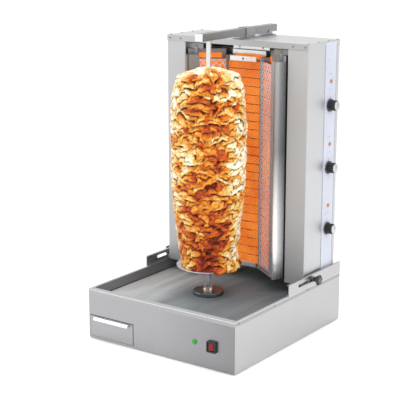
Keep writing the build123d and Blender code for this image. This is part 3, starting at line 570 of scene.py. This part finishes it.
def dress_cad():
    """Every CAD node gets its finish."""
    for name, obj in nodes.items():
        obj.data.materials.clear()
        obj.data.materials.append(finish[node_finish[name]])


# ---------------------------------------------------------------- mesh helpers
def add_mesh(name, points, faces, materials, body, smooth=True, material_index=None):
    """A piece from points in the row frame, riding on a body."""
    mesh = bpy.data.meshes.new(name)
    mesh.from_pydata([tuple(point) for point in points], [], [tuple(face) for face in faces])
    for material in materials:
        mesh.materials.append(finish[material])
    if material_index is not None:
        mesh.polygons.foreach_set("material_index", material_index)
    mesh.polygons.foreach_set("use_smooth", [smooth] * len(mesh.polygons))
    mesh.update()
    obj = bpy.data.objects.new(name, mesh)
    scene.collection.objects.link(obj)
    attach(obj, body)
    return obj


def sharpen(obj, degrees=35):
    """Smooth shading that breaks at corners."""
    obj.data.set_sharp_from_angle(angle=math.radians(degrees))


def frame_along(axis):
    """Two unit vectors square to axis, and axis itself, as columns."""
    axis = Vector(axis).normalized()
    side = Vector((0, 0, 1)) if abs(axis.z) < 0.9 else Vector((0, 1, 0))
    first = side.cross(axis).normalized()
    second = axis.cross(first)
    return Matrix((first, second, axis)).transposed()


def ring_faces(rings, sides):
    """The quads between neighbouring rings of points, then a face over each end."""
    faces = []
    for ring in range(rings - 1):
        for step in range(sides):
            here, there = ring * sides + step, ring * sides + (step + 1) % sides
            faces.append((here, there, there + sides, here + sides))
    faces.append(tuple(reversed(range(sides))))
    last = (rings - 1) * sides
    faces.append(tuple(last + step for step in range(sides)))
    return faces


def lathe(profile, centre, axis, sides, shape=None):
    """Rings round an axis from (radius, height, material) rows; shape(angle, ring) may change a radius."""
    basis = frame_along(axis)
    points = []
    for ring, (radius, height, _) in enumerate(profile):
        for step in range(sides):
            angle = 2 * math.pi * step / sides
            reach = radius * (shape(angle, ring) if shape else 1.0)
            local = Vector((reach * math.cos(angle), reach * math.sin(angle), height))
            points.append(Vector(centre) + basis @ local)
    finishes = [row[2] for row in profile[1:] for _ in range(sides)] + [profile[0][2], profile[-1][2]]
    return points, ring_faces(len(profile), sides), finishes


def islands(name):
    """The boxes of the separate solids in a CAD node."""
    mesh = nodes[name].data
    work = bmesh.new()
    work.from_mesh(mesh)
    bmesh.ops.remove_doubles(work, verts=work.verts, dist=1e-6)
    seen, boxes = set(), []
    for start in work.verts:
        if start.index in seen:
            continue
        stack, found = [start], []
        seen.add(start.index)
        while stack:
            vert = stack.pop()
            found.append(vert.co.copy())
            for edge in vert.link_edges:
                other = edge.other_vert(vert)
                if other.index not in seen:
                    seen.add(other.index)
                    stack.append(other)
        low = Vector([min(co[axis] for co in found) for axis in range(3)])
        high = Vector([max(co[axis] for co in found) for axis in range(3)])
        boxes.append((low, high))
    work.free()
    return boxes


# ---------------------------------------------------------------- noise on points
def lattice(points, seed):
    """Smooth value noise from 0 to 1 at each row of points."""
    cell = np.floor(points).astype(np.int64)
    part = points - cell
    part = part * part * (3 - 2 * part)
    total = np.zeros(len(points))
    for corner in range(8):
        offset = np.array([corner & 1, corner >> 1 & 1, corner >> 2 & 1])
        at = cell + offset
        mixed = (at[:, 0] * 73856093) ^ (at[:, 1] * 19349663) ^ (at[:, 2] * 83492791) ^ (seed * 2654435761)
        mixed = (mixed ^ (mixed >> 13)) * 1274126177
        value = ((mixed ^ (mixed >> 16)) & 0xFFFF) / 65535.0
        weight = np.prod(np.where(offset == 1, part, 1 - part), axis=1)
        total += weight * value
    return total


def layered_noise(points, size, seed, octaves=3):
    """Noise from -1 to 1 with features of about that size, and finer ones on top."""
    total, strength, reach = np.zeros(len(points)), 1.0, 0.0
    for octave in range(octaves):
        total += strength * (lattice(points / size * 2 ** octave + 11.3 * octave, seed + octave) * 2 - 1)
        reach += strength
        strength *= 0.5
    return total / reach


# ---------------------------------------------------------------- the roast
MEAT_COLUMNS = 360
MEAT_ROWS = 262
MEAT_DOME_ROWS = 44
STACK_RADIUS_MM = 90            # about the stack's radius, to turn a flake's width into an angle
SLICE_LIFT = 9.0 * MM
DOME_HEIGHT = 20 * MM
HEM_REACH = 17 * MM             # how far the lowest slices spill past the plate
FLAKE_RISE = 26 * MM            # no flake reaches further than this up or down from its level
FLAKE_TURN = 0.4                # nor further than this round the stack, in radians
# the side of the stack darkened as painted shade, the one toward the front
PAINTED_SHADE_FACING = math.radians(-54)
HEM_FACING = math.radians(5)


def meat_profile():
    """Radius of the plain CAD stack at each of its heights."""
    points = np.array([vertex.co for vertex in nodes["meat_stack"].data.vertices], float)
    radius = np.hypot(points[:, 0] - SPIT.x, points[:, 1] - SPIT.y)
    heights = np.unique(np.round(points[:, 2], 4))
    widest = [radius[np.abs(points[:, 2] - height) < 6e-5].max() for height in heights]
    return heights, np.array(widest)


def lay_flakes(rng, low, high):
    """Overlapping flakes.

    Each is its place round the stack, level, half width, half height, lean, droop, stand and doneness.
    """
    flakes = []
    height = low - 2 * MM
    while height < high + 8 * MM:
        angle = rng.uniform(0, 0.4)
        while angle < 2 * math.pi + 0.2:
            half_wide = rng.uniform(8, 16) * rng.choice([0.8, 1.2, 2.0]) * MM
            flakes.append((angle, height + rng.normal(0, 3.4) * MM, half_wide, rng.uniform(5.5, 12.5) * MM,
                           rng.normal(0, 0.42), rng.uniform(-2, 9) * MM, rng.uniform(0.45, 1.0),
                           rng.uniform(-1, 1)))
            angle += half_wide * rng.uniform(1.15, 1.7) / (STACK_RADIUS_MM * MM)
        height += rng.uniform(9.5, 13.0) * MM
    return flakes


def turn_from(middle, angle):
    """Angles measured from middle, between minus and plus half a turn."""
    return (angle - middle + math.pi) % (2 * math.pi) - math.pi


def flake_surface(angle, height, flakes):
    """How far the flakes stand out at each place, and the doneness of the top one."""
    lift = np.zeros(len(angle))
    done = np.zeros(len(angle))
    for middle, level, half_wide, half_tall, lean, droop, stand, shade in flakes:
        near = np.flatnonzero(np.abs(height - level) < FLAKE_RISE)
        near = near[np.abs(turn_from(middle, angle[near])) < FLAKE_TURN]
        along = turn_from(middle, angle[near]) * STACK_RADIUS_MM * MM / half_wide
        across = (height[near] - level - lean * along * half_wide + droop * along ** 2) / half_tall
        round_off = np.clip(1 - np.abs(along) ** 3 * 0.8 - np.clip(across, 0, 2) ** 2 * 0.75, 0, 1)
        sharp = np.clip((across + 1.0) / 0.22, 0, 1)
        raised = stand * np.sqrt(round_off) * sharp * (1.0 - 0.22 * np.clip(across, -1, 1))
        better = raised > lift[near]
        lift[near[better]] = raised[better]
        done[near[better]] = shade
    return lift, done


def blur(grid, along, up):
    """Running mean round the stack and up it."""
    total = sum(np.roll(grid, step, axis=1) for step in range(-along, along + 1)) / (2 * along + 1)
    padded = np.pad(total, ((up, up), (0, 0)), mode="edge")
    return sum(padded[step:step + len(grid)] for step in range(2 * up + 1)) / (2 * up + 1)


def paint_meat(meat, place, angle, up, lift, done, hollow):
    """The roast's point values: how well done each place is, with painted light and shade, and how deep in a
    fold.
    """
    # painted shade on the side toward the front, leaving the sides paler as if lit
    painted_front_shade = np.clip(np.cos(angle - PAINTED_SHADE_FACING), 0, 1) ** 3
    tone = 0.77 - 0.38 * painted_front_shade - 0.23 * np.clip(1 - up / 0.34, 0, 1) + 0.2 * np.clip((up - 0.86) / 0.14, 0, 1)
    tone += 0.2 * done + 0.3 * (lift - 0.72) + 0.52 * layered_noise(place * (1, 1, 1.2), 38 * MM, 61, 4)
    # painted light: paler towards +x, the stack's right-hand side
    tone += 0.12 * np.clip(np.cos(angle - math.radians(20)), 0, 1) ** 2
    for label, values in (("tone", tone), ("painted_fold_shade", hollow ** 0.75)):
        layer = meat.data.attributes.new(label, "FLOAT", "POINT")
        layer.data.foreach_set("value", np.clip(values, 0, 1).astype(np.float32))


def add_meat():
    """The stack: the CAD's profile, raised into flakes, with a dome on top and a ragged hem below."""
    heights, widths = meat_profile()
    low, high = heights[0], heights[-1]
    rng = np.random.default_rng(23)
    side_top = high - DOME_HEIGHT
    side_rows = MEAT_ROWS - MEAT_DOME_ROWS
    dome = np.sin(np.linspace(0.02, 1, MEAT_DOME_ROWS) * math.pi / 2)
    rows = np.concatenate([np.linspace(low, side_top, side_rows), side_top + (high - side_top) * dome])
    radii = np.interp(rows, heights, widths)
    radii[side_rows:] = np.linspace(radii[side_rows - 1], 7.0 * MM, MEAT_DOME_ROWS + 1)[1:]
    angle = np.tile(np.linspace(0, 2 * math.pi, MEAT_COLUMNS, endpoint=False), MEAT_ROWS)
    height = np.repeat(rows, MEAT_COLUMNS)
    radius = np.repeat(radii, MEAT_COLUMNS)
    flat = np.stack([radius * np.cos(angle), radius * np.sin(angle), height], axis=1)
    warp_angle = layered_noise(flat, 20 * MM, 3) * 0.1
    warp_height = layered_noise(flat, 17 * MM, 9) * 6.5 * MM
    lift, done = flake_surface(angle + warp_angle, height + warp_height, lay_flakes(rng, low, high))
    folds = layered_noise(flat, 9 * MM, 21, 3)
    swell = layered_noise(flat, 60 * MM, 41, 2)
    toward = np.clip((np.cos(angle - HEM_FACING) + 0.45) / 1.2, 0, 1)
    hem = np.clip(1 - (height - low) / (34 * MM), 0, 1) * toward
    limit = np.interp(height, heights, widths) + HEM_REACH * hem
    radius = radius + HEM_REACH * hem
    out = (lift - 1.0) * SLICE_LIFT + folds * 1.5 * MM + swell * 2.0 * MM - 2.0 * MM
    reach = np.maximum(radius + out * np.clip(radius / (50 * MM), 0.15, 1), 6.5 * MM)
    reach = np.where(height < side_top, np.minimum(reach, limit - 0.1 * MM), reach)
    drop = np.where(height > side_top, (lift - 1.0) * 6 * MM + folds * 2.0 * MM, 0.0) * (radius > 12 * MM)
    plate_edge = (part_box("meat_plate")[1].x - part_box("meat_plate")[0].x) / 2
    past_plate = np.clip((reach - plate_edge + 1 * MM) / (4 * MM), 0, 1)
    beyond = past_plate * np.clip(1 - (height - low) / (12 * MM), 0, 1)
    ragged = 0.5 + 0.5 * layered_noise(flat * (1, 1, 0), 12 * MM, 77, 2)
    z = np.clip(height + drop, low, high - 0.1 * MM) - beyond * ragged * 9 * MM
    points = np.stack([SPIT.x + reach * np.cos(angle), SPIT.y + reach * np.sin(angle), z], axis=1)
    faces = ring_faces(MEAT_ROWS, MEAT_COLUMNS)
    meat = add_mesh("roast_stack", points, faces, ["meat"], "spit")
    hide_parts("meat_stack")
    grid = (lift * SLICE_LIFT + folds * 1.5 * MM).reshape(MEAT_ROWS, MEAT_COLUMNS)
    hollow = np.clip((blur(grid, 2, 2) - grid) / (1.6 * MM), 0, 1).ravel()
    paint_meat(meat, flat, angle, (height - low) / (high - low), lift, done, hollow)


# ---------------------------------------------------------------- heater
# Each guard's finish, the rise and run of its cells, and the width and depth of its strands.
WING_GUARD = ("wing_mesh", 9.5 * MM, 16.0 * MM, 2.6 * MM, 1.9 * MM)
GUARDS = {"center": ("mesh", 5.2 * MM, 9.0 * MM, 0.9 * MM, 0.6 * MM), "right": WING_GUARD, "left": WING_GUARD}
BORDER = 1.2 * MM
BORDER_DEPTH = 1.1 * MM
STRAND_SWING = 0.42             # of a row's height, so that the tips of two rows nearly meet
STRAND_LEAN = 0.1 * MM


def panel_frame(panel):
    """A guard's left foot seen from the spit, the ways it runs and faces, its width and its height."""
    low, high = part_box(f"mesh_guard_{panel}")
    if panel == "center":
        start, end = Vector((low.x, low.y, low.z)), Vector((high.x, low.y, low.z))
    elif panel == "right":
        start, end = Vector((low.x, high.y, low.z)), Vector((high.x, low.y, low.z))
    else:
        start, end = Vector((low.x, low.y, low.z)), Vector((high.x, high.y, low.z))
    along = (end - start).normalized()
    facing = Vector((along.y, -along.x, 0.0))
    return start, along, facing, (end - start).length, high.z - low.z


def add_guard(panel):
    """Expanded-metal mesh in a folded border."""
    start, along, facing, width, height = panel_frame(panel)
    wire, cell_rise, cell_run, strand, depth_of_wire = GUARDS[panel]
    rows = int((height - 2 * BORDER) / cell_rise)
    rise = (height - 2 * BORDER) / rows
    cells = int((width - 2 * BORDER) / cell_run)
    run = (width - 2 * BORDER) / cells
    points, faces = [], []
    up = Vector((0, 0, 1))

    def bar(path, wide, thick, lean=0.0):
        """A closed strip along path. Its faces look out if wide, facing and path are a right-handed set."""
        first = len(points)
        for place in path:
            for side, depth in ((-1, 0), (1, 0), (1, 1), (-1, 1)):
                points.append(place + wide * side + facing * (depth * thick + side * lean))
        for step in range(len(path) - 1):
            at = first + 4 * step
            for edge in range(4):
                near, far = at + edge, at + (edge + 1) % 4
                faces.append((near, far, far + 4, near + 4))
        end = first + 4 * (len(path) - 1)
        faces.append((first + 3, first + 2, first + 1, first))
        faces.append((end, end + 1, end + 2, end + 3))

    origin = start - facing * 0.9 * MM + along * BORDER + up * BORDER
    for row in range(rows):
        path = []
        for step in range(2 * cells + 1):
            side = 1 if (step + row) % 2 else -1
            path.append(origin + along * run * step / 2 + up * (rise * (row + 0.5) + side * rise * STRAND_SWING))
        bar(path, up * strand / 2, depth_of_wire, STRAND_LEAN)
    foot = start - facing * 1.2 * MM
    for z in (BORDER / 2, height - BORDER / 2):
        bar([foot + up * z, foot + up * z + along * width], up * BORDER / 2, BORDER_DEPTH)
    for side in (BORDER / 2, width - BORDER / 2):
        post = foot + along * side
        bar([post + up * (height - BORDER), post + up * BORDER], along * BORDER / 2, BORDER_DEPTH)
    guard = add_mesh(f"expanded_mesh_{panel}", points, faces, [wire], "cabinet", smooth=False)
    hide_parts(f"mesh_guard_{panel}")


# ---------------------------------------------------------------- screws, knobs and print
KNOBS = ("upper", "middle", "lower")
SCALE_RADIUS_MM = 23.5
SCALE_STEP = 30                 # degrees


def add_block(name, middle, size, material, body):
    """A small bar that marks where a knob points."""
    corners = [(x, y, z) for x in (-0.5, 0.5) for y in (-0.5, 0.5) for z in (-0.5, 0.5)]
    points = [middle + Vector([part * full for part, full in zip(corner, size)]) for corner in corners]
    faces = ((0, 1, 3, 2), (4, 6, 7, 5), (0, 4, 5, 1), (2, 3, 7, 6), (0, 2, 6, 4), (1, 5, 7, 3))
    add_mesh(name, points, faces, [material], body, smooth=False)


def screw_head(low, high, axis_name):
    """A pan head with a crossed recess, in the space of one plain CAD head."""
    axis = {"x": 0, "y": 1, "z": 2}[axis_name[-1]]
    sign = -1 if axis_name[0] == "-" else 1
    direction = Vector([sign if index == axis else 0 for index in range(3)])
    middle = (low + high) / 2
    radius = max((high - low)[index] for index in range(3) if index != axis) / 2
    rise = (high - low)[axis]
    foot = middle - direction * rise / 2
    dome = [(1.0, 0.0), (1.0, 0.35), (0.93, 0.68), (0.78, 0.9), (0.6, 1.0)]
    recess = [(0.5, 0.98), (0.24, 0.55), (0.05, 0.5)]
    profile = [(radius * reach, rise * up, 0) for reach, up in dome + recess]

    def crossed(angle, ring):
        if ring < len(dome):
            return 1.0
        arm = abs(math.cos(2 * angle))
        return 1.0 if arm > 0.75 else 0.45
    return lathe(profile, foot, direction, 24, crossed)


def add_screws(name, node, body):
    """Every head of one CAD node, as one piece."""
    points, faces = [], []
    for low, high in islands(node):
        size = high - low
        thin = min(range(3), key=lambda axis: size[axis])
        outward = {0: "x" if low.x > 0 else "-x", 1: "-y", 2: "z"}[thin]
        more, shells, _ = screw_head(low, high, outward)
        first = len(points)
        points += more
        faces += [tuple(first + index for index in face) for face in shells]
    piece = add_mesh(name, points, faces, ["screw"], body)
    sharpen(piece, 40)
    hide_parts(node)


def add_heat_knob(which):
    """A fluted grip on a skirt, with a bright cap, a pointer on the skirt and a line on the cap."""
    node = f"heat_knob_{which}"
    body = f"knob_{which}"
    low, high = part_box(node)
    centre = Vector((0.0, (low.y + high.y) / 2, (low.z + high.z) / 2))
    skirt = (high.z - low.z) / 2
    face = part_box("control_strip")[1].x + 0.3 * MM
    top = high.x
    length = top - face
    skirt_rows = [(0.1, 0.0), (0.97, 0.0), (1.0, 0.02), (1.0, 0.07), (0.95, 0.13), (0.82, 0.155)]
    fluted_rows = [(0.79, 0.17), (0.79, 0.3), (0.785, 0.5), (0.775, 0.7), (0.76, 0.84)]
    shoulder_rows = [(0.72, 0.885), (0.68, 0.9)]
    cap_rows = [(0.67, 0.91), (0.67, 0.975), (0.63, 1.0), (0.46, 1.0), (0.44, 0.985), (0.2, 0.985),
                (0.02, 0.985)]
    materials = ["knob", "cap", "grip"]
    parts = (("knob", skirt_rows), ("grip", fluted_rows + shoulder_rows), ("cap", cap_rows))
    profile = [(skirt * reach, length * up, materials.index(kind))
               for kind, rows in parts for reach, up in rows]

    def fluted(angle, ring):
        if 0 <= ring - len(skirt_rows) < len(fluted_rows):
            return 1.0 - 0.06 * max(0.0, math.cos(18 * angle)) ** 0.7
        return 1.0
    centre.x = face
    points, faces, kinds = lathe(profile, centre, (1, 0, 0), 144, fluted)
    knob = add_mesh(f"fluted_knob_{which}", points, faces, materials, body,
                    material_index=kinds)
    sharpen(knob, 30)
    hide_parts(node)
    on_skirt = Vector((face + length * 0.145, centre.y, centre.z + skirt * 0.89))
    on_cap = Vector((face + length * 0.988, centre.y, centre.z + skirt * 0.2))
    add_block(f"pointer_{which}", on_skirt, (0.5 * MM, 1.4 * MM, 4.2 * MM), "film", body)
    add_block(f"cap_line_{which}", on_cap, (0.2 * MM, 1.8 * MM, skirt * 0.46), "ink", body)


def add_clamp_knob(side):
    """A six-lobed knob moulded on its screw, with a washer and a bright stud end."""
    node = f"clamp_knob_{side}"
    low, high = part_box(node)
    sign = 1 if side == "right" else -1
    outer = high.x if sign > 0 else -low.x
    inner = low.x if sign > 0 else -high.x
    centre = Vector((0.0, (low.y + high.y) / 2, (low.z + high.z) / 2))
    lobe = (high.y - low.y) / 2
    plate = 250.3 * MM      # where the washer starts, just outside the rail's outer face
    # radius in millimetres, place along the screw, and 0 for the screw, 1 for the boss or 2 for the lobes
    rows = [(1.0, inner, 0), (4.0, inner, 0), (4.0, plate, 0), (8.0, plate, 0), (8.0, plate + 1.6 * MM, 0),
            (5.0, plate + 1.8 * MM, 0), (6.4, plate + 2.4 * MM, 1), (6.9, plate + 5 * MM, 1),
            (6.7, plate + 10.5 * MM, 1), (8.5, plate + 12.6 * MM, 1), (lobe / MM - 1.4, plate + 13.4 * MM, 2),
            (lobe / MM, plate + 14.6 * MM, 2), (lobe / MM, outer - 2.6 * MM, 2),
            (lobe / MM - 1.3, outer - 0.7 * MM, 2), (lobe / MM - 4.0, outer, 2), (4.6, outer, 1),
            (4.2, outer - 1.2 * MM, 0), (1.0, outer - 1.2 * MM, 0)]
    profile = [(radius * MM, height, 1 if kind else 0) for radius, height, kind in rows]
    lobed = {ring for ring, row in enumerate(rows) if row[2] == 2}

    def waved(angle, ring):
        return 1.0 - 0.17 * (0.5 - 0.5 * math.cos(6 * angle)) ** 1.3 if ring in lobed else 1.0
    points, faces, kinds = lathe(profile, centre, (sign, 0, 0), 96, waved)
    knob = add_mesh(f"star_knob_{side}", points, faces, ["screw", "knob"], f"clamp_{side}",
                    material_index=kinds)
    sharpen(knob, 32)
    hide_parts(node)


def add_print():
    """Scale marks round each heat knob, and fine rules along the film."""
    low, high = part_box("control_strip")
    points, faces = [], []

    def mark(middle, along, half_long, half_wide):
        side = Vector((0, -along.z, along.y))
        first = len(points)
        for depth in (0.0, 0.12 * MM):
            for run, across in ((-1, -1), (1, -1), (1, 1), (-1, 1)):
                corner = middle + along * run * half_long + side * across * half_wide
                points.append(corner + Vector((depth, 0, 0)))
        for face in ((0, 3, 2, 1), (4, 5, 6, 7), (0, 1, 5, 4), (1, 2, 6, 5), (2, 3, 7, 6), (3, 0, 4, 7)):
            faces.append(tuple(first + index for index in face))

    for which in KNOBS:
        knob_low, knob_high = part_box(f"heat_knob_{which}")
        centre = Vector((high.x, (knob_low.y + knob_high.y) / 2, (knob_low.z + knob_high.z) / 2))
        for step in range(10):
            angle = math.radians(90 + SCALE_STEP * step)
            along = Vector((0, math.cos(angle), math.sin(angle)))
            mark(centre + along * SCALE_RADIUS_MM * MM, along, (2.2 if step % 3 else 3.2) * MM, 0.45 * MM)
        for rise in (45.0, 88.0):
            mark(centre + Vector((0, 0, rise * MM)), Vector((0, 1, 0)), 9 * MM, 0.35 * MM)
    rule = (high.z - low.z) / 2 - 4 * MM
    for edge in (low.y + 1.4 * MM, high.y - 1.4 * MM):
        mark(Vector((high.x, edge, (low.z + high.z) / 2)), Vector((0, 0, 1)), rule, 0.8 * MM)
    add_mesh("strip_print", points, faces, ["ink"], "cabinet", smooth=False)


# ---------------------------------------------------------------- floor and assembly
FLOOR_HALF = 14.0


def add_floor():
    shader = Shader("floor", (0.9, 0.9, 0.9), 0.6, Emission_Color=(1.0, 1.0, 1.0, 1.0),
                    Emission_Strength=0.14)
    speckle = shader.noise((1, 1, 1), 3.0, 2.0, 0.5)
    shader.colour(shader.mix(shader.spread(speckle, 0.0, 1.0), (0.88, 0.88, 0.88), (0.92, 0.92, 0.92)))
    mesh = bpy.data.meshes.new("floor")
    corners = [(FLOOR_HALF * x, FLOOR_HALF * y, 0) for x, y in ((-1, -1), (1, -1), (1, 1), (-1, 1))]
    mesh.from_pydata(corners, [], [(0, 1, 2, 3)])
    mesh.materials.append(shader.material)
    floor = bpy.data.objects.new("floor", mesh)
    scene.collection.objects.link(floor)


add_camera()
add_studio()
add_floor()
dress_cad()
add_meat()
for panel in PANELS:
    add_guard(panel)
add_screws("cross_head_screws_cabinet", "cabinet_screws", "cabinet")
add_screws("cross_head_screws_base", "base_screws", "base")
for which in KNOBS:
    add_heat_knob(which)
for side in ("right", "left"):
    add_clamp_knob(side)
add_print()
